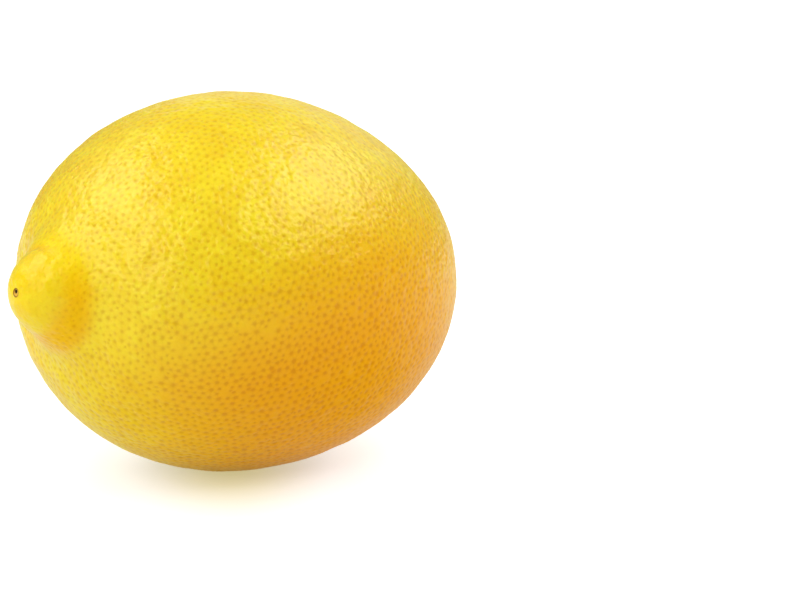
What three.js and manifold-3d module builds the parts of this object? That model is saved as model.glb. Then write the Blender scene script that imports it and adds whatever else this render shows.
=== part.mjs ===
// A whole lemon lying on its side, in millimetres with +Z up.
//
// The fruit grew as one piece: a round body that tapers a little to both ends, a nipple at the
// blossom end with a furrow round it, and a ribbed collar round a shallow dimple at the stem end.
// The woody calyx button that the picker's shears leave in that dimple is a piece of its own.
//
// Both pieces are modelled in the fruit's own frame. Its axis is X, the blossom end points to -X,
// and a point on the skin is given by two angles: "polar" runs from 0 at the blossom pole to PI at
// the stem pole, and "turn" runs round the axis from +Y towards +Z. A group then lays the fruit
// down, tipped a little, on a small flat spot at Z = 0.

import * as THREE from "three";
import { mergeVertices } from "three/addons/utils/BufferGeometryUtils.js";
import Module from "manifold-3d";

const wasm = await Module();
wasm.setup();

// Driving dimensions

const body = {
  radius: 30, // half of the greatest thickness
  blossomReach: 35.9, // from the centre to where the blossom pole would be with no nipple
  stemReach: 39.8, // from the centre to the stem pole
  taper: 1.023, // 1 is an ellipse, and more draws both ends in
};

// Gentle swellings that keep the body from being a turned shape. "waves" is their number round
// the fruit, "twist" turns them along the axis, and "phase" places them.
const swellings = [
  { height: 0.3, waves: 2, twist: 0, phase: -0.33 },
  { height: 0.2, waves: 3, twist: 1.5, phase: 2.99 },
  { height: 0.11, waves: 5, twist: -2, phase: -1.62 },
];

const nipple = {
  height: 5.8,
  spread: 7.4, // distance from the axis where its height has fallen to about a third
  squareness: 2.8, // 2 is a bell, and more makes the tip blunt and the flanks steep
};

const furrow = {
  radius: 10.6, // of the ring at its deepest line
  width: 3.2,
  depth: 0.75,
  unevenness: 0.45, // share by which it is deeper on one side and shallower on the other
  deepSide: -0.9, // the turn where it is deepest
};

const stemEnd = {
  dimpleDepth: 1.9,
  dimpleRadius: 5.2,
  collarRadius: 8.6, // of the low ring that stands round the dimple
  collarWidth: 4.2,
  collarHeight: 0.8,
  ribs: 9, // short ribs that run out over the collar
  ribHeight: 0.26,
  ribRadius: 9.5,
  ribSpread: 4,
  ribUnevenness: 0.5, // share by which some ribs stand higher and wider than others
};

const button = {
  radius: 3.1,
  lobes: 5, // the five sepals that have dried to its edge
  lobeDepth: 0.16, // share of the radius by which the lobes stand out and the gaps lie back
  thickness: 0.8, // of the sepals
  shoulder: 0.78, // share of the radius where the sepals begin to slope down to their edge
  stubRadius: 1.45,
  stubHeight: 1.3, // of the cut stalk above the sepals
  bevel: 0.25,
  clearance: 0.32, // between the button and the skin under it
};

const rest = {
  tip: THREE.MathUtils.degToRad(3.9), // the blossom end is a little higher than the stem end
  flatDepth: 0.5, // how far the fruit has settled, which makes the flat spot
};

const mesh = {
  rings: 72, // round the fruit, from pole to pole
  crowding: 0.55, // 0 spaces the rings evenly, and more brings them together at both ends
  sides: 60,
  buttonSides: 40,
};

// The skin's form

// How far out and how far towards the blossom end the skin is, with nothing else on the body.
function bodyPoint(polar) {
  const along = Math.cos(polar);
  const mean = (body.blossomReach + body.stemReach) / 2;
  const lean = (body.blossomReach - body.stemReach) / 2;
  return {
    out: body.radius * Math.pow(Math.sin(polar), body.taper),
    reach: (mean + lean * along) * along,
  };
}

// A round hump of height 1 on the axis; a higher power squares it off.
function hump(out, spread, power = 2) {
  return Math.exp(-Math.pow(out / spread, power));
}

// A ring of height 1 round the axis.
function ring(out, radius, width) {
  return Math.exp(-Math.pow((out - radius) / width, 2));
}

function swelling(polar, turn) {
  const middle = Math.pow(Math.sin(polar), 2);
  const along = Math.cos(polar);
  return swellings.reduce((sum, { height, waves, twist, phase }) => {
    return sum + middle * height * Math.cos(waves * turn + twist * along + phase);
  }, 0);
}

// What the blossom end adds towards -X: the nipple, less the furrow round it.
function blossomRelief(out, turn) {
  const depth = furrow.depth * (1 + furrow.unevenness * Math.cos(turn - furrow.deepSide));
  const raised = nipple.height * hump(out, nipple.spread, nipple.squareness);
  return raised - depth * ring(out, furrow.radius, furrow.width);
}

// What the stem end adds towards +X: the collar and its ribs, less the dimple.
function stemRelief(out, turn) {
  const uneven = stemEnd.ribUnevenness;
  const spacing = Math.cos(stemEnd.ribs * turn + uneven * Math.sin(2 * turn));
  const strength = 1 + uneven * Math.cos(3 * turn + 1);
  const ribs = stemEnd.ribHeight * spacing * strength * ring(out, stemEnd.ribRadius, stemEnd.ribSpread);
  const collar = stemEnd.collarHeight * ring(out, stemEnd.collarRadius, stemEnd.collarWidth);
  return collar + ribs - stemEnd.dimpleDepth * hump(out, stemEnd.dimpleRadius);
}

function skinPoint(polar, turn) {
  const plain = bodyPoint(polar);
  const out = plain.out + swelling(polar, turn);
  const relief = Math.cos(polar) > 0 ? blossomRelief(out, turn) : -stemRelief(out, turn);
  return new THREE.Vector3(-plain.reach - relief, out * Math.cos(turn), out * Math.sin(turn));
}

// How far towards +X the skin of the stem end is, at a distance from the axis.
function stemSkin(out, turn) {
  const polar = Math.PI - Math.asin(Math.pow(out / body.radius, 1 / body.taper));
  return skinPoint(polar, turn).x;
}

// Geometry helpers

// Turns a profile into a closed lathe mesh, then moves each vertex to place(step, turn).
function latheWith(profile, sides, place) {
  const geometry = new THREE.LatheGeometry(profile, sides);
  const positions = geometry.getAttribute("position");
  for (let i = 0; i < positions.count; i++) {
    const side = Math.floor(i / profile.length) % sides;
    const point = place(i % profile.length, (side / sides) * 2 * Math.PI);
    positions.setXYZ(i, point.x, point.y, point.z);
  }
  return onlyPositions(geometry);
}

function onlyPositions(geometry) {
  geometry.deleteAttribute("normal");
  geometry.deleteAttribute("uv");
  return mergeVertices(geometry, 1e-4);
}

function toSolid(geometry) {
  return new wasm.Manifold(
    new wasm.Mesh({
      numProp: 3,
      vertProperties: new Float32Array(geometry.getAttribute("position").array),
      triVerts: new Uint32Array(geometry.getIndex().array),
    }),
  );
}

function toGeometry(solid) {
  const { vertProperties, triVerts } = solid.getMesh();
  const geometry = new THREE.BufferGeometry();
  geometry.setAttribute("position", new THREE.BufferAttribute(vertProperties, 3));
  geometry.setIndex(new THREE.BufferAttribute(triVerts, 1));
  geometry.computeVertexNormals();
  return geometry;
}

// The pieces

// Polar angles of the rings, from pole to pole, closer together towards both ends.
function ringAngles() {
  return Array.from({ length: mesh.rings + 1 }, (_, i) => {
    const share = i / mesh.rings;
    return Math.PI * share - (mesh.crowding / 2) * Math.sin(2 * Math.PI * share);
  });
}

function fruitSkin() {
  const angles = ringAngles();
  const last = angles.length - 1;
  const atPole = (step) => step === 0 || step === last;
  const profile = angles.map((polar, step) => {
    const { out, reach } = bodyPoint(polar);
    return new THREE.Vector2(atPole(step) ? 0 : out, reach);
  });
  return latheWith(profile, mesh.sides, (step, turn) =>
    atPole(step) ? skinPoint(angles[step], 0).setY(0).setZ(0) : skinPoint(angles[step], turn),
  );
}

// Cuts off what would be under the surface that the fruit lies on, in the fruit's own frame.
function flattened(geometry, laying) {
  const size = 4 * body.radius;
  const under = new THREE.BoxGeometry(size, size, size)
    .translate(0, 0, -size / 2)
    .applyMatrix4(laying.clone().invert());
  return toGeometry(toSolid(geometry).subtract(toSolid(onlyPositions(under))));
}

// The button's section, from the middle of its underside round to the middle of the cut stalk.
// "lift" is the height above the underside, which follows the skin under the sepals.
function buttonSection() {
  const { radius, thickness, shoulder, stubRadius, stubHeight, bevel } = button;
  const cut = thickness + stubHeight;
  return [
    { out: 0, lift: 0 },
    { out: stubRadius + bevel, lift: 0 },
    { out: radius - bevel, lift: 0 },
    { out: radius, lift: bevel },
    { out: radius - bevel, lift: thickness - bevel },
    { out: radius * shoulder, lift: thickness },
    { out: stubRadius + bevel, lift: thickness + bevel },
    { out: stubRadius, lift: thickness + 2 * bevel },
    { out: stubRadius, lift: cut - bevel },
    { out: stubRadius - bevel, lift: cut },
    { out: 0, lift: cut - bevel / 2 },
  ];
}

function buttonSkin() {
  const { radius, stubRadius, lobes, lobeDepth, clearance } = button;
  const section = buttonSection();
  const profile = section.map(({ out, lift }) => new THREE.Vector2(out, -lift));
  return latheWith(profile, mesh.buttonSides, (step, turn) => {
    const { out, lift } = section[step];
    const edge = Math.max(0, (out - stubRadius) / (radius - stubRadius));
    const lobed = out * (1 + edge * lobeDepth * Math.cos(lobes * turn));
    const seat = edge > 0 ? stemSkin(lobed, turn) : stemSkin(0, 0);
    return new THREE.Vector3(seat + clearance + lift, lobed * Math.cos(turn), lobed * Math.sin(turn));
  });
}

// The scene graph

const peel = new THREE.MeshStandardMaterial({
  name: "lemon peel",
  color: 0xf2cc22,
  roughness: 0.42,
  metalness: 0,
});

const dryStalk = new THREE.MeshStandardMaterial({
  name: "dry stalk",
  color: 0x7d6a3a,
  roughness: 0.85,
  metalness: 0,
});

function named(name, geometry, material) {
  const piece = new THREE.Mesh(geometry, material);
  piece.name = name;
  return piece;
}

// The box of a geometry once a matrix has moved it.
function boxAt(geometry, matrix) {
  const moved = geometry.clone().applyMatrix4(matrix);
  return new THREE.Box3().setFromBufferAttribute(moved.getAttribute("position"));
}

function makeLemon() {
  const skin = fruitSkin();
  const stalk = toGeometry(toSolid(buttonSkin()));

  // Tipped first, because the box in that position tells how far to move and lift the fruit.
  const lemon = new THREE.Group();
  lemon.rotation.y = rest.tip;
  lemon.updateMatrix();
  const box = boxAt(skin, lemon.matrix).union(boxAt(stalk, lemon.matrix));
  const middle = box.getCenter(new THREE.Vector3());
  lemon.position.set(-middle.x, -middle.y, -box.min.z - rest.flatDepth);
  lemon.updateMatrix();

  lemon.add(named("fruit", flattened(skin, lemon.matrix), peel));
  lemon.add(named("calyx_button", stalk, dryStalk));
  return lemon;
}

export default makeLemon();
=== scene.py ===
# A whole lemon lying on a white table. Lengths are in metres, except where a name or a note says mm.

import bpy
import bmesh
import math
import random

import numpy as np
from mathutils import Matrix, Vector, noise
from mathutils.kdtree import KDTree


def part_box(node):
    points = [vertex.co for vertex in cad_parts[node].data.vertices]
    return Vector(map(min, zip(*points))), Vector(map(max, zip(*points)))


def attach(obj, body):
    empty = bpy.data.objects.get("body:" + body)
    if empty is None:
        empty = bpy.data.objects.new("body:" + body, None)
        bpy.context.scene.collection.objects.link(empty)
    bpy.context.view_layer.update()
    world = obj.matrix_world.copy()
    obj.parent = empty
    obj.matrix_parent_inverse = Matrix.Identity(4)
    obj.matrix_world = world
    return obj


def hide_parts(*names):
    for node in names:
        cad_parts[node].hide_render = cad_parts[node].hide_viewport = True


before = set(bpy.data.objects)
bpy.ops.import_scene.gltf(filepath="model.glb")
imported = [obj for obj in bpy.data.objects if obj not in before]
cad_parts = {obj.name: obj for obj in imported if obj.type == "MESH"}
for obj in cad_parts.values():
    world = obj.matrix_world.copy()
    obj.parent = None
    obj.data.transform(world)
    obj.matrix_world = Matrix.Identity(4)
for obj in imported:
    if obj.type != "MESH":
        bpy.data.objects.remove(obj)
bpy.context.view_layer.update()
mm = 0.001


# Small helpers

def linear(hexColour):
    # #RRGGBB to the linear values that a shader socket takes
    channels = [int(hexColour[i:i + 2], 16) / 255 for i in (1, 3, 5)]
    return [c / 12.92 if c <= 0.04045 else ((c + 0.055) / 1.055) ** 2.4 for c in channels] + [1]


def addNode(material, kind, settings=None, links=None):
    # a node with its settings, and with links from other nodes' outputs to its inputs
    node = material.node_tree.nodes.new(kind)
    for name, value in (settings or {}).items():
        if isinstance(name, int) or name in node.inputs:
            node.inputs[name].default_value = value
        else:
            setattr(node, name, value)
    for name, output in (links or {}).items():
        material.node_tree.links.new(output, node.inputs[name])
    return node


def newMaterial(name):
    material = bpy.data.materials.new(name)
    material.use_nodes = True
    material.node_tree.nodes.clear()
    return material


def newObject(name, bm, material):
    mesh = bpy.data.meshes.new(name)
    bm.to_mesh(mesh)
    bm.free()
    for face in mesh.polygons:
        face.use_smooth = True
    mesh.materials.append(material)
    piece = bpy.data.objects.new(name, mesh)
    bpy.context.scene.collection.objects.link(piece)
    return piece


# The form of the fruit, in mm, along its own axis: -X is the blossom end, +X the stem end.
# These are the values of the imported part.
form = {
    "radius": 30.0,  # half of the greatest thickness
    "blossomReach": 35.9,  # from the centre to where the blossom pole would be with no nipple
    "stemReach": 39.8,  # from the centre to the stem pole
    "taper": 1.023,  # 1 is an ellipse, and more draws both ends in
    # height, waves round the fruit, twist along it and phase
    "swellings": [(0.3, 2, 0.0, -0.33), (0.2, 3, 1.5, 2.99), (0.11, 5, -2.0, -1.62)],
    "nippleHeight": 5.8,
    "nippleSpread": 7.4,
    "nippleSquareness": 2.8,  # 2 is a bell, and more makes the tip blunt and the flanks steep
    "furrowRadius": 10.6,
    "furrowWidth": 3.2,
    "furrowDepth": 0.75,
    "furrowUnevenness": 0.45,
    "furrowDeepSide": -0.9,  # the turn where it is deepest
    "dimpleDepth": 1.9,
    "dimpleRadius": 5.2,
    "collarRadius": 8.6,
    "collarWidth": 4.2,
    "collarHeight": 0.8,
    "ribs": 9,
    "ribHeight": 0.26,
    "ribRadius": 9.5,
    "ribSpread": 4.0,
    "ribUnevenness": 0.5,
    "tip": math.radians(3.9),  # by which the blossom end is higher than the stem end
    "flatDepth": 0.5,  # how far the fruit has settled
}


def hump(out, spread, power=2.0):
    # 1 on the axis, and a higher power squares it off
    return np.exp(-(out / spread) ** power)


def ring(out, radius, width):
    # 1 at the radius, and falling off on both sides of it
    return np.exp(-((out - radius) / width) ** 2)


def rise(values, start, end):
    # from 0 to 1 between two values
    return np.clip((values - start) / (end - start), 0, 1)


def bodyPoint(polar):
    # how far out and how far towards the blossom end the skin is, with nothing else on the body
    mean = (form["blossomReach"] + form["stemReach"]) / 2
    lean = (form["blossomReach"] - form["stemReach"]) / 2
    out = form["radius"] * np.abs(np.sin(polar)) ** form["taper"]
    return out, (mean + lean * np.cos(polar)) * np.cos(polar)


def skinPoint(polar, turn):
    # polar runs from 0 at the blossom pole to pi at the stem pole, turn round the axis from +Y to +Z
    out, reach = bodyPoint(polar)
    for height, waves, twist, phase in form["swellings"]:
        out = out + height * np.sin(polar) ** 2 * np.cos(waves * turn + twist * np.cos(polar) + phase)
    uneven = form["ribUnevenness"]
    furrow = form["furrowDepth"] * (1 + form["furrowUnevenness"] * np.cos(turn - form["furrowDeepSide"]))
    blossom = (form["nippleHeight"] * hump(out, form["nippleSpread"], form["nippleSquareness"])
               - furrow * ring(out, form["furrowRadius"], form["furrowWidth"]))
    ribs = (form["ribHeight"] * np.cos(form["ribs"] * turn + uneven * np.sin(2 * turn))
            * (1 + uneven * np.cos(3 * turn + 1)) * ring(out, form["ribRadius"], form["ribSpread"]))
    stem = (form["collarHeight"] * ring(out, form["collarRadius"], form["collarWidth"]) + ribs
            - form["dimpleDepth"] * hump(out, form["dimpleRadius"]))
    relief = np.where(np.cos(polar) > 0, blossom, -stem)
    return np.stack([-reach - relief, out * np.cos(turn), out * np.sin(turn)], axis=-1)


def layingMatrix():
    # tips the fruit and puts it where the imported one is
    low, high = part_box("fruit")
    tip = Matrix.Rotation(form["tip"], 4, "Y") @ Matrix.Scale(mm, 4)
    lines = 361  # of points both ways, to find how far the fruit reaches
    polar, turn = np.meshgrid(np.linspace(0, math.pi, lines), np.linspace(0, 2 * math.pi, lines))
    points = skinPoint(polar, turn).reshape(-1, 3) @ np.array(tip.to_3x3()).T
    least, most = points.min(axis=0), points.max(axis=0)
    return Matrix.Translation((
        low.x - least[0],
        (low.y + high.y - least[1] - most[1]) / 2,
        -least[2] - form["flatDepth"] * mm,
    )) @ tip


laying = layingMatrix()
print("frame loaded, fruit lies at", [round(v / mm, 2) for v in laying.translation], "mm")

# Camera
cameraSet = {
    "lens": 135,  # mm
    "sensor": 36,  # mm
    "azimuth": math.radians(-39.6),
    "elevation": math.radians(9.5),
    "distance": 0.471,
    "nearest": 0.01,  # what is closer than this isn't drawn
    "fruitPixel": (233.3, 282.0),  # where the middle of the fruit shows in an image of 800 by 599
    "image": (800, 599),
}


def addCamera():
    azimuth, elevation = cameraSet["azimuth"], cameraSet["elevation"]
    back = Vector((
        math.sin(azimuth) * math.cos(elevation),
        -math.cos(azimuth) * math.cos(elevation),
        math.sin(elevation),
    ))
    # turned away from the fruit by as much as puts it left of the image's middle
    width, height = cameraSet["image"]
    pixels = cameraSet["lens"] / cameraSet["sensor"] * width
    x, y = cameraSet["fruitPixel"]
    sight = Vector(((x - width / 2) / pixels, (height / 2 - y) / pixels, -1)).normalized()
    turned = back.to_track_quat("Z", "Y") @ sight.rotation_difference(Vector((0, 0, -1)))
    data = bpy.data.cameras.new("camera")
    data.lens = cameraSet["lens"]
    data.sensor_width = cameraSet["sensor"]
    data.clip_start = cameraSet["nearest"]
    camera = bpy.data.objects.new("camera", data)
    place = laying.translation + back * cameraSet["distance"]
    camera.matrix_world = Matrix.Translation(place) @ turned.to_matrix().to_4x4()
    bpy.context.scene.collection.objects.link(camera)
    bpy.context.scene.camera = camera


addCamera()
print("camera set")

# The peel. Lengths are in mm here, and radii are distances from the fruit's axis.
peelSet = {
    "seed": 12,

    # oil glands
    "glands": 9800,  # which puts them 1.3 mm apart
    "fineCuts": 2,  # between two glands
    "scatter": 0.4,  # how far a gland strays from the even net, as a share of their distance
    "evening": 2,  # times that the glands move towards the middle of their neighbours
    "endCrowding": 0.5,  # share by which more of them are on the same area at both ends
    "endReach": 11.0,  # how far that goes from the pole
    "profileSteps": 2000,  # of the line from pole to pole that their spread is worked out on
    "strengths": (0.65, 1.0),  # of the plain ones, from the weakest to the strongest
    "besides": (0.28, 0.42),  # share of that strength which the skin next to the middle has
    "faint": (0.02, 0.2),  # share of the glands that hardly show, and their strength
    "extraShare": 0.02,  # of the places between glands that hold a small one
    "extraStrengths": (0.4, 0.8),
    "pitDepth": 0.12,
    "outsideShade": 0.92,  # share of a gland's strength that it has there
    "insideShade": 0.35,  # by how much it is stronger in the painted shade on the low side
    "weaker": {"nipple": 0.6, "dimple": 0.75},  # by how much it is weaker there

    # areas of the blossom end: radius and width of a ring, or radius and squareness of a round spot
    "nipple": (8.0, 4.0),
    "baldTip": (1.6, 6.0),  # where there are no glands
    "furrow": (7.9, 1.9),
    "furrowDeepSide": -2.2,  # the turn where its painted shade is deepest
    "furrowAllRound": 0.35,  # share of that painted shade that it has all round
    "crease": (6.9, 0.6),
    "creaseTurn": (1.3, 0.8),  # where it is on its ring, and how far it runs
    "creasePaintedShade": 0.6,  # share of the furrow's painted shade that it has
    "lumpyRing": (13.0, 5.0),  # where the lumps are up to twice as high
    "scar": (0.62, 6.0),  # the dry scar that the flower's style leaves on the nipple
    "scarRim": (0.62, 0.09),
    "scarHole": (0.32, 4.0),
    "scarHolePlace": (0.15, 0.15),  # in Y and Z
    "scarCap": 0.0007,  # height of the cap of the unit sphere that has finer faces for the scar
    "scarCuts": 4,  # of each edge of those faces

    # areas of the stem end
    "dimple": (5.0, 4.0),
    "wrinkleRing": (5.2, 1.9),
    "wrinkles": 27,  # short ones round the button
    "wrinkleSway": (2, 4),  # how uneven their distances are, and how often that comes round
    "wrinkleDepth": 0.09,
    "grooveRing": (10.0, 4.0),  # between the ribs of the collar
    "grooveDepth": 0.1,

    # painted shade: the low side, that the light falls away from, is painted a deeper orange yellow; and what
    # is under the fruit
    "shadeWay": (0.38, -0.56, -0.78),  # towards that side
    "shadeFloor": -12,  # under this height it gets no deeper
    "shadeReach": (-7, 28),  # that way, from none to full
    "shadeFade": 0.4,  # by how much it is weaker at the stem end
    "fadeReach": (4, 30),  # in X, from none of that to all
    "undersideReach": (0, 20),  # downwards from the axis

    # relief
    "inset": 0.07,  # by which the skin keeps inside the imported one, for the lumps
    # of the areas, and the one below 0 stands out
    "depths": {"furrow": 0.2, "crease": 0.35, "scar": 0.12, "scarHole": 0.12, "scarRim": -0.06},
    "lumps": [(0.03, 12.0), (0.05, 6.0), (0.08, 2.8)],  # height and width
    "lumpPlace": (3.1, 7.7),  # Y and Z in the noise, where X is the lumps' width, to keep them apart

    # finish
    "yellows": ("#E6C404", "#EAD214"),  # the two tones of the skin, in patches
    "patchWidth": 5,
    # one layer over the other: area, way of mixing, colour and share
    "layers": [
        # painted shade: a deeper orange yellow on the low side
        ("paintedShade", "MIX", "#EAA402", 1.0),
        # painted shade in the furrow round the nipple and along the crease
        ("paintedFurrowShade", "MIX", "#EAB002", 0.7),
        ("dimple", "MIX", "#A8A030", 0.6),
        ("gland", "MULTIPLY", "#EEDF9C", 1.0),
        ("scar", "MIX", "#D8A848", 0.9),
        ("scarRim", "MIX", "#7E4208", 0.9),
        ("scarHole", "MIX", "#240A02", 1.0),
    ],
    "layerEdge": (0.1, 0.8),  # a layer starts where its area has the first value and is full at the second
    # share of the gloss that an area takes away
    "mattness": {
        "gland": 0.5, "scar": 1, "scarRim": 1, "furrow": 0.9, "nipple": 0.55, "dimple": 0.6,
        "underside": 0.75, "paintedShade": 1.1,
    },
    "gloss": (0.74, 0.04),  # specular level of wax on smooth skin, and where it is matt
    "glossTint": "#FFF6C8",  # the wax is a little yellow
    "roughness": 0.34,
    "grainWidth": 1.4,
    "grainDepth": 0.4,
    "glow": 0.3,  # share of the light that goes into the peel and comes out beside
    "glowReach": (2.6, 1.3, 0.25),  # of red, green and blue light
}


def meridian():
    # for the polar angles of a line from pole to pole: the share of the glands up to there, and the
    # angle on a unit sphere that makes a small circle on the skin a small circle on the sphere
    polar = np.linspace(0, math.pi, peelSet["profileSteps"] + 1)
    points = skinPoint(polar, np.zeros_like(polar))
    steps = np.linalg.norm(np.diff(points, axis=0), axis=1)
    arc = np.concatenate([[0], np.cumsum(steps)])
    toPole = np.minimum(arc, arc[-1] - arc)
    weighted = points[:, 1] * (1 + peelSet["endCrowding"] * hump(toPole, peelSet["endReach"]))
    share = np.concatenate([[0], np.cumsum((weighted[1:] + weighted[:-1]) * steps)])
    share /= share[-1]
    growth = np.concatenate([[0], np.cumsum(steps / (points[1:, 1] + points[:-1, 1]) * 2)])
    angle = 2 * np.arctan(np.exp(growth - np.interp(0.5, share, growth)))
    angle[0], angle[-1] = 0, math.pi
    return polar, share, angle


def scatteredSphere(bm, dice, share, angle):
    # a unit sphere of fine faces, and the places on it where the oil glands lie
    count = peelSet["glands"]
    spacing = math.sqrt(4 * math.pi / count * 2 / math.sqrt(3))  # of an even net of so many places
    goldenTurn = math.pi * (3 - math.sqrt(5))
    for index in range(count):
        along = 1 - (2 * index + 1) / count
        out, turn = math.sqrt(1 - along * along), index * goldenTurn
        place = Vector((along, out * math.cos(turn), out * math.sin(turn)))
        stray = Vector((dice.gauss(0, 1), dice.gauss(0, 1), dice.gauss(0, 1))).cross(place)
        place += stray.normalized() * spacing * peelSet["scatter"] * math.sqrt(dice.random())
        place.normalize()
        turn = math.atan2(place.z, place.y)
        tilt = float(np.interp((1 + place.x) / 2, share, angle))
        bm.verts.new((-math.cos(tilt), math.sin(tilt) * math.cos(turn), math.sin(tilt) * math.sin(turn)))
    bmesh.ops.convex_hull(bm, input=bm.verts)
    for _ in range(peelSet["evening"]):
        bmesh.ops.smooth_vert(bm, verts=bm.verts, factor=0.5,
                              use_axis_x=True, use_axis_y=True, use_axis_z=True)
    sites = [vert.co.copy() for vert in bm.verts]
    bmesh.ops.subdivide_edges(bm, edges=bm.edges, cuts=peelSet["fineCuts"], use_grid_fill=True)
    tip = [e for e in bm.edges if max(v.co.x for v in e.verts) < peelSet["scarCap"] - 1]
    bmesh.ops.subdivide_edges(bm, edges=tip, cuts=peelSet["scarCuts"], use_grid_fill=True)
    bm.verts.ensure_lookup_table()
    return sites


def glandStrengths(bm, sites, dice):
    # how strongly each vertex belongs to a gland: 1 in the middle of a strong one
    finder = KDTree(len(bm.verts))
    for index, vert in enumerate(bm.verts):
        finder.insert(vert.co, index)
    finder.balance()
    gland = np.zeros(len(bm.verts))
    faintShare, faintStrength = peelSet["faint"]
    for site in sites:
        vert = bm.verts[finder.find(site)[1]]
        strength = faintStrength if dice.random() < faintShare else dice.uniform(*peelSet["strengths"])
        beside = strength * dice.uniform(*peelSet["besides"])
        gland[vert.index] = max(gland[vert.index], strength)
        for edge in vert.link_edges:
            other = edge.other_vert(vert).index
            gland[other] = max(gland[other], beside)
    for index in np.flatnonzero(gland == 0):
        if dice.random() < peelSet["extraShare"]:
            gland[index] = dice.uniform(*peelSet["extraStrengths"])
    return gland


def peelAreas(points, turn):
    # from 0 to 1, how much each point of the skin belongs to each area
    x, y, z = points.T
    out = np.hypot(y, z)
    holeY, holeZ = peelSet["scarHolePlace"]
    blossomEnd = {
        "nipple": hump(out, *peelSet["nipple"]),
        "baldTip": hump(out, *peelSet["baldTip"]),
        "furrow": ring(out, *peelSet["furrow"]),
        "crease": ring(out, *peelSet["crease"]) * ring(turn, *peelSet["creaseTurn"]),
        "lumpy": ring(out, *peelSet["lumpyRing"]),
        "scar": hump(out, *peelSet["scar"]),
        "scarRim": ring(out, *peelSet["scarRim"]),
        "scarHole": hump(np.hypot(y - holeY, z - holeZ), *peelSet["scarHole"]),
    }
    stemEnd = {
        "dimple": hump(out, *peelSet["dimple"]),
        "wrinkled": ring(out, *peelSet["wrinkleRing"]),
        "grooved": ring(out, *peelSet["grooveRing"]),
    }
    areas = {name: np.where(x < 0, amount, 0) for name, amount in blossomEnd.items()}
    areas.update({name: np.where(x < 0, 0, amount) for name, amount in stemEnd.items()})

    # painted shade in the furrow, deepest on one side, and along the crease
    allRound = peelSet["furrowAllRound"]
    deeper = allRound + (1 - allRound) * np.cos(turn - peelSet["furrowDeepSide"])
    areas["paintedFurrowShade"] = np.maximum(areas["furrow"] * np.clip(deeper, 0, 1),
                                     peelSet["creasePaintedShade"] * areas["crease"])
    # painted shade, deeper towards the low side and weaker at the stem end
    shaded = np.stack([x, y, np.maximum(z, peelSet["shadeFloor"])], axis=-1) @ np.array(peelSet["shadeWay"])
    fade = 1 - peelSet["shadeFade"] * rise(x, *peelSet["fadeReach"])
    areas["paintedShade"] = rise(shaded, *peelSet["shadeReach"]) * fade
    areas["underside"] = rise(-z, *peelSet["undersideReach"])
    return areas


def peelHeights(areas, turn):
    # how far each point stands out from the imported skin, the lumps left out
    sway, swayTurns = peelSet["wrinkleSway"]
    wrinkles = 1 + np.cos(peelSet["wrinkles"] * turn + sway * np.sin(swayTurns * turn))
    grooves = 1 - np.cos(form["ribs"] * turn + form["ribUnevenness"] * np.sin(2 * turn))
    heights = -peelSet["inset"] - peelSet["pitDepth"] * areas["gland"]
    for name, depth in peelSet["depths"].items():
        heights -= depth * areas[name]
    heights -= peelSet["wrinkleDepth"] * wrinkles * areas["wrinkled"]
    heights -= peelSet["grooveDepth"] * grooves * areas["grooved"]
    return heights


def buildPeel(material):
    dice = random.Random(peelSet["seed"])
    bm = bmesh.new()
    polar, share, angle = meridian()
    sites = scatteredSphere(bm, dice, share, angle)
    gland = glandStrengths(bm, sites, dice)
    places = np.array([vert.co.normalized() for vert in bm.verts])
    turn = np.arctan2(places[:, 2], places[:, 1])
    points = skinPoint(np.interp(np.arccos(-places[:, 0]), angle, polar), turn)
    for vert, point in zip(bm.verts, points):
        vert.co = point
    bm.normal_update()

    areas = peelAreas(points, turn)
    gland *= peelSet["outsideShade"] + peelSet["insideShade"] * areas["paintedShade"]
    gland *= 1 - sum(loss * areas[name] for name, loss in peelSet["weaker"].items())
    areas["gland"] = gland * (1 - areas["baldTip"])
    areas["matt"] = np.max([loss * areas[name] for name, loss in peelSet["mattness"].items()], axis=0)
    for vert, height, lumpy in zip(bm.verts, peelHeights(areas, turn), areas["lumpy"]):
        for lump, width in peelSet["lumps"]:
            apart = Vector((width, *peelSet["lumpPlace"]))
            height += (1 + lumpy) * lump * noise.noise(vert.co / width + apart)
        vert.co += vert.normal * height
    for name in [layer[0] for layer in peelSet["layers"]] + ["matt"]:
        attribute = bm.verts.layers.float.new(name)
        for vert, amount in zip(bm.verts, areas[name]):
            vert[attribute] = amount

    bm.transform(laying)
    for vert in bm.verts:
        vert.co.z = max(vert.co.z, 0)
    return newObject("fruit_peel", bm, material)
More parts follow.
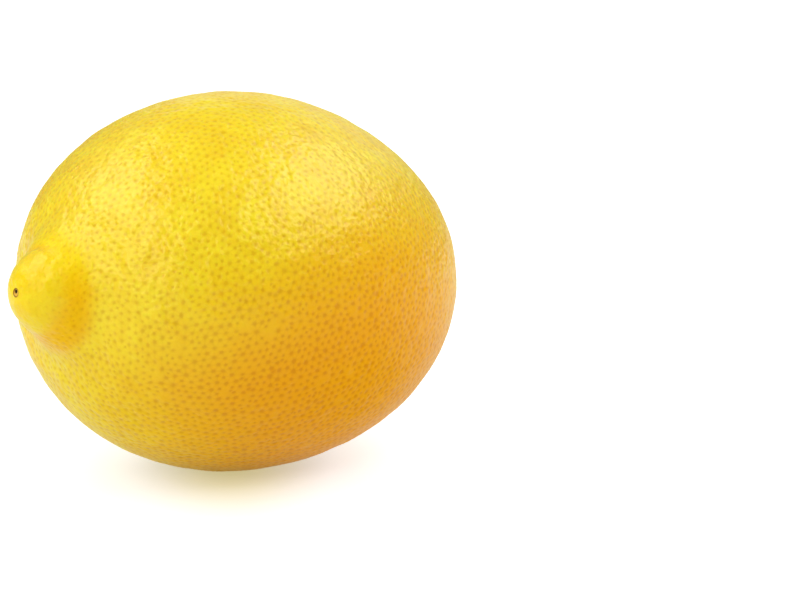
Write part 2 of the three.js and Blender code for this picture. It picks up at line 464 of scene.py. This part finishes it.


# Citrus peel: a waxy skin over oil glands, which gives a saturated yellow with a soft satin gloss and a
# darker fleck at each gland; over it, painted shade of a deeper orange yellow low down and in the furrow
def peelMaterial():
    material = newMaterial("waxyLemonPeel")
    place = addNode(material, "ShaderNodeTexCoord")

    patches = addNode(material, "ShaderNodeTexNoise", {
        "Scale": 1 / (peelSet["patchWidth"] * mm), "Detail": 4.0, "Roughness": 0.7,
    }, {"Vector": place.outputs["Object"]})
    patchiness = addNode(material, "ShaderNodeMapRange", {"From Min": 0.36, "From Max": 0.64},
                         {"Value": patches.outputs["Fac"]})
    deep, pale = peelSet["yellows"]
    colour = addNode(material, "ShaderNodeMix", {"data_type": "RGBA", 6: linear(deep), 7: linear(pale)},
                     {0: patchiness.outputs["Result"]}).outputs[2]
    start, full = peelSet["layerEdge"]
    for name, blend, hexColour, share in peelSet["layers"]:
        mask = addNode(material, "ShaderNodeAttribute", {"attribute_name": name})
        amount = addNode(material, "ShaderNodeMapRange", {
            "From Min": start, "From Max": full, "To Max": share, "interpolation_type": "SMOOTHSTEP",
        }, {"Value": mask.outputs["Fac"]})
        colour = addNode(material, "ShaderNodeMix", {
            "data_type": "RGBA", "blend_type": blend, 7: linear(hexColour),
        }, {0: amount.outputs["Result"], 6: colour}).outputs[2]

    grain = addNode(material, "ShaderNodeTexNoise", {
        "Scale": 1 / (peelSet["grainWidth"] * mm), "Detail": 2.0, "Roughness": 0.4,
    }, {"Vector": place.outputs["Object"]})
    bump = addNode(material, "ShaderNodeBump", {"Strength": 1.0, "Distance": peelSet["grainDepth"] * mm},
                   {"Height": grain.outputs["Fac"]})
    matt = addNode(material, "ShaderNodeAttribute", {"attribute_name": "matt"})
    glossy, dull = peelSet["gloss"]
    gloss = addNode(material, "ShaderNodeMapRange", {"To Min": glossy, "To Max": dull},
                    {"Value": matt.outputs["Fac"]})
    shader = addNode(material, "ShaderNodeBsdfPrincipled", {
        "Roughness": peelSet["roughness"],
        "Specular Tint": linear(peelSet["glossTint"]),
        "Subsurface Weight": peelSet["glow"],
        "Subsurface Radius": peelSet["glowReach"],
        "Subsurface Scale": mm,
    }, {
        "Base Color": colour,
        "Specular IOR Level": gloss.outputs["Result"],
        "Normal": bump.outputs["Normal"],
    })
    addNode(material, "ShaderNodeOutputMaterial", {}, {"Surface": shader.outputs["BSDF"]})
    return material


peel = buildPeel(peelMaterial())
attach(peel, "root")
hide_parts("fruit")
print("peel built with", len(peel.data.polygons), "faces")

# The dry calyx button with its stub of stalk, in mm
buttonSet = {
    "seed": 5,
    "radius": 3.1,
    "thickness": 0.8,  # of the sepals
    "shoulder": 0.78,  # share of the radius where they begin to slope down to their edge
    "swell": (0.62, 1.05),  # shares of the radius and the thickness, where they run up to the stub
    "stubRadius": 1.45,
    "stubHeight": 1.3,
    "stubWaist": 0.94,  # share of its radius that it has just under the cut
    "hollow": [(0.72, 1), (0.3, 1.6), (0, 1.2)],  # in the cut: shares of the stub's radius, depths in bevels
    "bevel": 0.25,
    "clearance": 0.32,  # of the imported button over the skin
    "sunk": 0.35,  # how far its underside lies in the skin
    "cuts": 3,  # of each line of its section
    "sides": 100,
    "sepals": 5,
    "sepalReach": 0.272,  # share of the radius by which a plain sepal's point stands out
    "sepalGap": 0.096,  # share of the radius by which the gaps lie back
    "sepalRoundness": 0.8,  # of the gaps: a lower value makes the points more slender
    "sepalLengths": (0.6, 1.5),  # times the plain one, from the shortest to the longest
    "sepalCurls": (0.1, 0.5),  # how far their points rise
    "veins": 31,
    "veinHeight": 0.05,
    "veinSway": 3,
    "crumpling": 0.14,  # height of the dry skin's unevenness
    "crumplesPerMm": 1.7,
    "ragged": 0.3,  # how much of it also goes sideways
    "fibreWidth": 0.4,
    "fibreDepth": 0.12,
    # sepals, their tips, and the cut stalk over them, each in two tones
    "tones": {"sepal": ("#4A451C", "#7E7434"), "tip": ("#5E4A26", "#A88E58"), "stub": ("#6B4F2A", "#C2A06A")},
}


def stemSkin(out, turn):
    # how far towards +X the skin is near the stem end
    polar = math.pi - np.arcsin((out / form["radius"]) ** (1 / form["taper"]))
    return skinPoint(polar, turn)[..., 0]


def buttonSection():
    # how far out and how high it is, from the middle of the underside round to the middle of the cut
    radius, stub, bevel = buttonSet["radius"], buttonSet["stubRadius"], buttonSet["bevel"]
    top = buttonSet["thickness"]
    cut = top + buttonSet["stubHeight"]
    swellOut, swellHeight = buttonSet["swell"]
    sepals = [
        (0, 0),
        (radius / 2, 0),
        (radius - bevel, 0),
        (radius, bevel),
        (radius - bevel, top - bevel),
        (radius * buttonSet["shoulder"], top),
        (radius * swellOut, top * swellHeight),
    ]
    stalk = [
        (stub + bevel, top + bevel),
        (stub, top + 2 * bevel),
        (stub * buttonSet["stubWaist"], cut - 2 * bevel),
        (stub, cut - bevel),
        (stub - bevel, cut),
    ]
    hollow = [(stub * share, cut - depth * bevel) for share, depth in buttonSet["hollow"]]
    return sepals + stalk + hollow


def buildButton(material):
    radius, stub, bevel = buttonSet["radius"], buttonSet["stubRadius"], buttonSet["bevel"]
    top, sepals = buttonSet["thickness"], buttonSet["sepals"]
    bm = bmesh.new()
    line = [bm.verts.new((lift, out, 0)) for out, lift in buttonSection()]
    edges = [bm.edges.new(pair) for pair in zip(line, line[1:])]
    bmesh.ops.subdivide_edges(bm, edges=edges, cuts=buttonSet["cuts"])
    bmesh.ops.spin(bm, geom=bm.verts[:] + bm.edges[:], cent=(0, 0, 0), axis=(1, 0, 0), angle=2 * math.pi,
                   steps=buttonSet["sides"], use_merge=True)
    bmesh.ops.remove_doubles(bm, verts=bm.verts, dist=1e-4)
    bmesh.ops.recalc_face_normals(bm, faces=bm.faces)
    stubLayer = bm.verts.layers.float.new("stub")
    tipLayer = bm.verts.layers.float.new("tip")
    dice = random.Random(buttonSet["seed"])
    lengths = [dice.uniform(*buttonSet["sepalLengths"]) for _ in range(sepals)]
    curls = [dice.uniform(*buttonSet["sepalCurls"]) for _ in range(sepals)]
    middle = float(stemSkin(np.array(0.0), np.array(0.0)))
    for vert in bm.verts:
        lift, out, turn = vert.co.x, math.hypot(vert.co.y, vert.co.z), math.atan2(vert.co.z, vert.co.y)
        upper = min(1, lift / top)
        edge = max(0, (out - stub) / (radius - stub))
        # pointed sepals of different lengths, with rounded gaps between them
        sepal = round(turn * sepals / (2 * math.pi)) % sepals
        point = 1 - abs(math.sin(sepals * turn / 2)) ** buttonSet["sepalRoundness"]
        lobed = out * (1 + edge * (buttonSet["sepalReach"] * point * lengths[sepal] - buttonSet["sepalGap"]))
        sway = buttonSet["veinSway"] * noise.noise(vert.co)
        veins = buttonSet["veinHeight"] * math.sin(buttonSet["veins"] * turn + sway) * edge * upper
        curl = curls[sepal] * point * edge ** 2 * upper
        # three layers of crumples, each half as high and twice as fine as the one before
        crumples = noise.fractal(vert.co * buttonSet["crumplesPerMm"], 1.0, 2.0, 3)
        rough = buttonSet["crumpling"] * crumples * upper
        seat = float(stemSkin(np.array(lobed), np.array(turn))) if edge > 0 else middle
        deeper = buttonSet["sunk"] if lift < bevel / 2 else 0
        vert[stubLayer] = min(1, max(0, (lift - top) / bevel))
        vert[tipLayer] = edge * upper
        height = seat + lift - deeper + veins + curl + rough + (buttonSet["clearance"] - bevel) / 2
        wide = lobed * (1 + buttonSet["ragged"] * rough)
        vert.co = Vector((height, wide * math.cos(turn), wide * math.sin(turn)))
    bm.transform(laying)
    return newObject("calyx_button_fine", bm, material)


# Dried sepals and a cut woody stalk: matt, olive brown with dry pale tips, paler where the shears cut it
def buttonMaterial():
    material = newMaterial("dryCalyxWood")
    place = addNode(material, "ShaderNodeTexCoord")
    fibre = addNode(material, "ShaderNodeTexNoise", {
        "Scale": 1 / (buttonSet["fibreWidth"] * mm), "Detail": 4.0, "Roughness": 0.65,
    }, {"Vector": place.outputs["Object"]})
    patchiness = addNode(material, "ShaderNodeMapRange", {"From Min": 0.35, "From Max": 0.65},
                         {"Value": fibre.outputs["Fac"]})
    tones = {}
    for name, (dark, pale) in buttonSet["tones"].items():
        tones[name] = addNode(material, "ShaderNodeMix", {
            "data_type": "RGBA", 6: linear(dark), 7: linear(pale),
        }, {0: patchiness.outputs["Result"]}).outputs[2]
    colour = tones["sepal"]
    for name in ("tip", "stub"):
        mask = addNode(material, "ShaderNodeAttribute", {"attribute_name": name})
        colour = addNode(material, "ShaderNodeMix", {"data_type": "RGBA"},
                         {0: mask.outputs["Fac"], 6: colour, 7: tones[name]}).outputs[2]
    bump = addNode(material, "ShaderNodeBump", {"Strength": 0.7, "Distance": buttonSet["fibreDepth"] * mm},
                   {"Height": fibre.outputs["Fac"]})
    shader = addNode(material, "ShaderNodeBsdfPrincipled", {"Roughness": 0.8, "Specular IOR Level": 0.3},
                     {"Base Color": colour, "Normal": bump.outputs["Normal"]})
    addNode(material, "ShaderNodeOutputMaterial", {}, {"Surface": shader.outputs["BSDF"]})
    return material


button = buildButton(buttonMaterial())
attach(button, "root")
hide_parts("calyx_button")
print("calyx button built")

# The table top
tableSet = {
    "size": 12,
    "white": "#B4B4B4",
    "paintedBounce": "#EAE6B0",  # painted yellow light that the fruit throws on the acrylic right under it
    "glow": 0.55,  # strength of the glow painted into the table, where the fruit touches it
    # where the glow grows, which leaves a painted soft shadow round the fruit: from and to a distance, by how
    # much, and how many times farther to the front and back
    "rises": [(0.007, 0.019, 0.08, 1), (0.006, 0.046, 0.2, 3), (0.04, 0.3, 0.15, 1)],
    "paintedBounceFade": (0.0, 0.017, 1.0, 3),  # the same, for how the painted yellow light turns white
    "thrown": 0.64,  # share of that light that reaches the fruit
}


# White acrylic, matt, with a glow painted into it, which shows no grain; the glow is weaker round the fruit,
# a painted soft shadow, and yellow right under it, painted light from the fruit
def tableMaterial():
    material = newMaterial("mattWhiteAcrylic")
    place = addNode(material, "ShaderNodeTexCoord")
    grown = []
    for near, far, height, stretch in tableSet["rises"] + [tableSet["paintedBounceFade"]]:
        turned = addNode(material, "ShaderNodeMapping", {
            "vector_type": "TEXTURE", "Rotation": (0, 0, cameraSet["azimuth"]), "Scale": (1, stretch, 1),
        }, {"Vector": place.outputs["Object"]})
        distance = addNode(material, "ShaderNodeVectorMath", {"operation": "LENGTH"},
                           {0: turned.outputs["Vector"]})
        grown.append(addNode(material, "ShaderNodeMapRange", {
            "From Min": near, "From Max": far, "To Max": height, "interpolation_type": "SMOOTHSTEP",
        }, {"Value": distance.outputs["Value"]}).outputs["Result"])

    first, *others, whiteness = grown
    strength = addNode(material, "ShaderNodeMath", {1: tableSet["glow"]}, {0: first}).outputs[0]
    for other in others:
        strength = addNode(material, "ShaderNodeMath", {}, {0: strength, 1: other}).outputs[0]
    path = addNode(material, "ShaderNodeLightPath")
    share = addNode(material, "ShaderNodeMapRange", {"To Min": tableSet["thrown"]},
                    {"Value": path.outputs["Is Camera Ray"]})
    strength = addNode(material, "ShaderNodeMath", {"operation": "MULTIPLY"},
                       {0: strength, 1: share.outputs["Result"]}).outputs[0]
    paintedBounce = addNode(material, "ShaderNodeMix", {
        "data_type": "RGBA", 6: linear(tableSet["paintedBounce"]), 7: linear("#FFFFFF"),
    }, {0: whiteness})
    shader = addNode(material, "ShaderNodeBsdfPrincipled", {
        "Base Color": linear(tableSet["white"]), "Roughness": 0.7, "Specular IOR Level": 0.2,
    }, {"Emission Color": paintedBounce.outputs[2], "Emission Strength": strength})
    addNode(material, "ShaderNodeOutputMaterial", {}, {"Surface": shader.outputs["BSDF"]})
    return material


def buildTable():
    bm = bmesh.new()
    bmesh.ops.create_grid(bm, x_segments=1, y_segments=1, size=tableSet["size"] / 2)
    newObject("table", bm, tableMaterial())


buildTable()

# Light: two softboxes side by side above the fruit, one at the left front and a weak one behind, all
# facing down, in a white room that is brighter overhead
lightSet = {
    "horizon": 0.24,  # how bright the room is at the table's height
    "zenith": 0.4,  # and straight above
    "backdrop": 1.0,  # what the camera sees beyond the table
    # as the camera sees them: how far to the right, away and up each is, its size, and its radiance
    "softboxes": {
        "softboxLeft": ((-0.40, -0.12, 0.43), (0.48, 0.66), 2.9),
        "softboxRight": ((0.44, -0.015, 0.43), (0.50, 0.71), 3.05),
        "softboxFill": ((-0.8, -0.95, 0.4), (1.0, 0.7), 4.2),
        "softboxRear": ((0.3, 1.3, 0.45), (1.0, 0.7), 1.3),
    },
}


def addSoftbox(name, place, size, radiance):
    data = bpy.data.lights.new(name, "AREA")
    data.shape = "RECTANGLE"
    data.size, data.size_y = size
    data.energy = radiance * math.pi * data.size * data.size_y
    softbox = bpy.data.objects.new(name, data)
    softbox.matrix_world = Matrix.Rotation(cameraSet["azimuth"], 4, "Z") @ Matrix.Translation(place)
    bpy.context.scene.collection.objects.link(softbox)


def lightRoom():
    world = bpy.data.worlds.new("whiteRoom")
    bpy.context.scene.world = world
    world.use_nodes = True
    direction = addNode(world, "ShaderNodeTexCoord")
    height = addNode(world, "ShaderNodeSeparateXYZ", {}, {0: direction.outputs["Generated"]})
    room = addNode(world, "ShaderNodeMapRange", {"To Min": lightSet["horizon"], "To Max": lightSet["zenith"]},
                   {"Value": height.outputs["Z"]})
    path = addNode(world, "ShaderNodeLightPath")
    strength = addNode(world, "ShaderNodeMix", {"data_type": "FLOAT", 3: lightSet["backdrop"]},
                       {0: path.outputs["Is Camera Ray"], 2: room.outputs["Result"]})
    background = world.node_tree.nodes["Background"]
    background.inputs["Color"].default_value = linear("#FFFFFF")
    world.node_tree.links.new(strength.outputs[0], background.inputs["Strength"])


for name, values in lightSet["softboxes"].items():
    addSoftbox(name, *values)
lightRoom()
bpy.context.scene.view_settings.view_transform = "Standard"
print("table and light set")
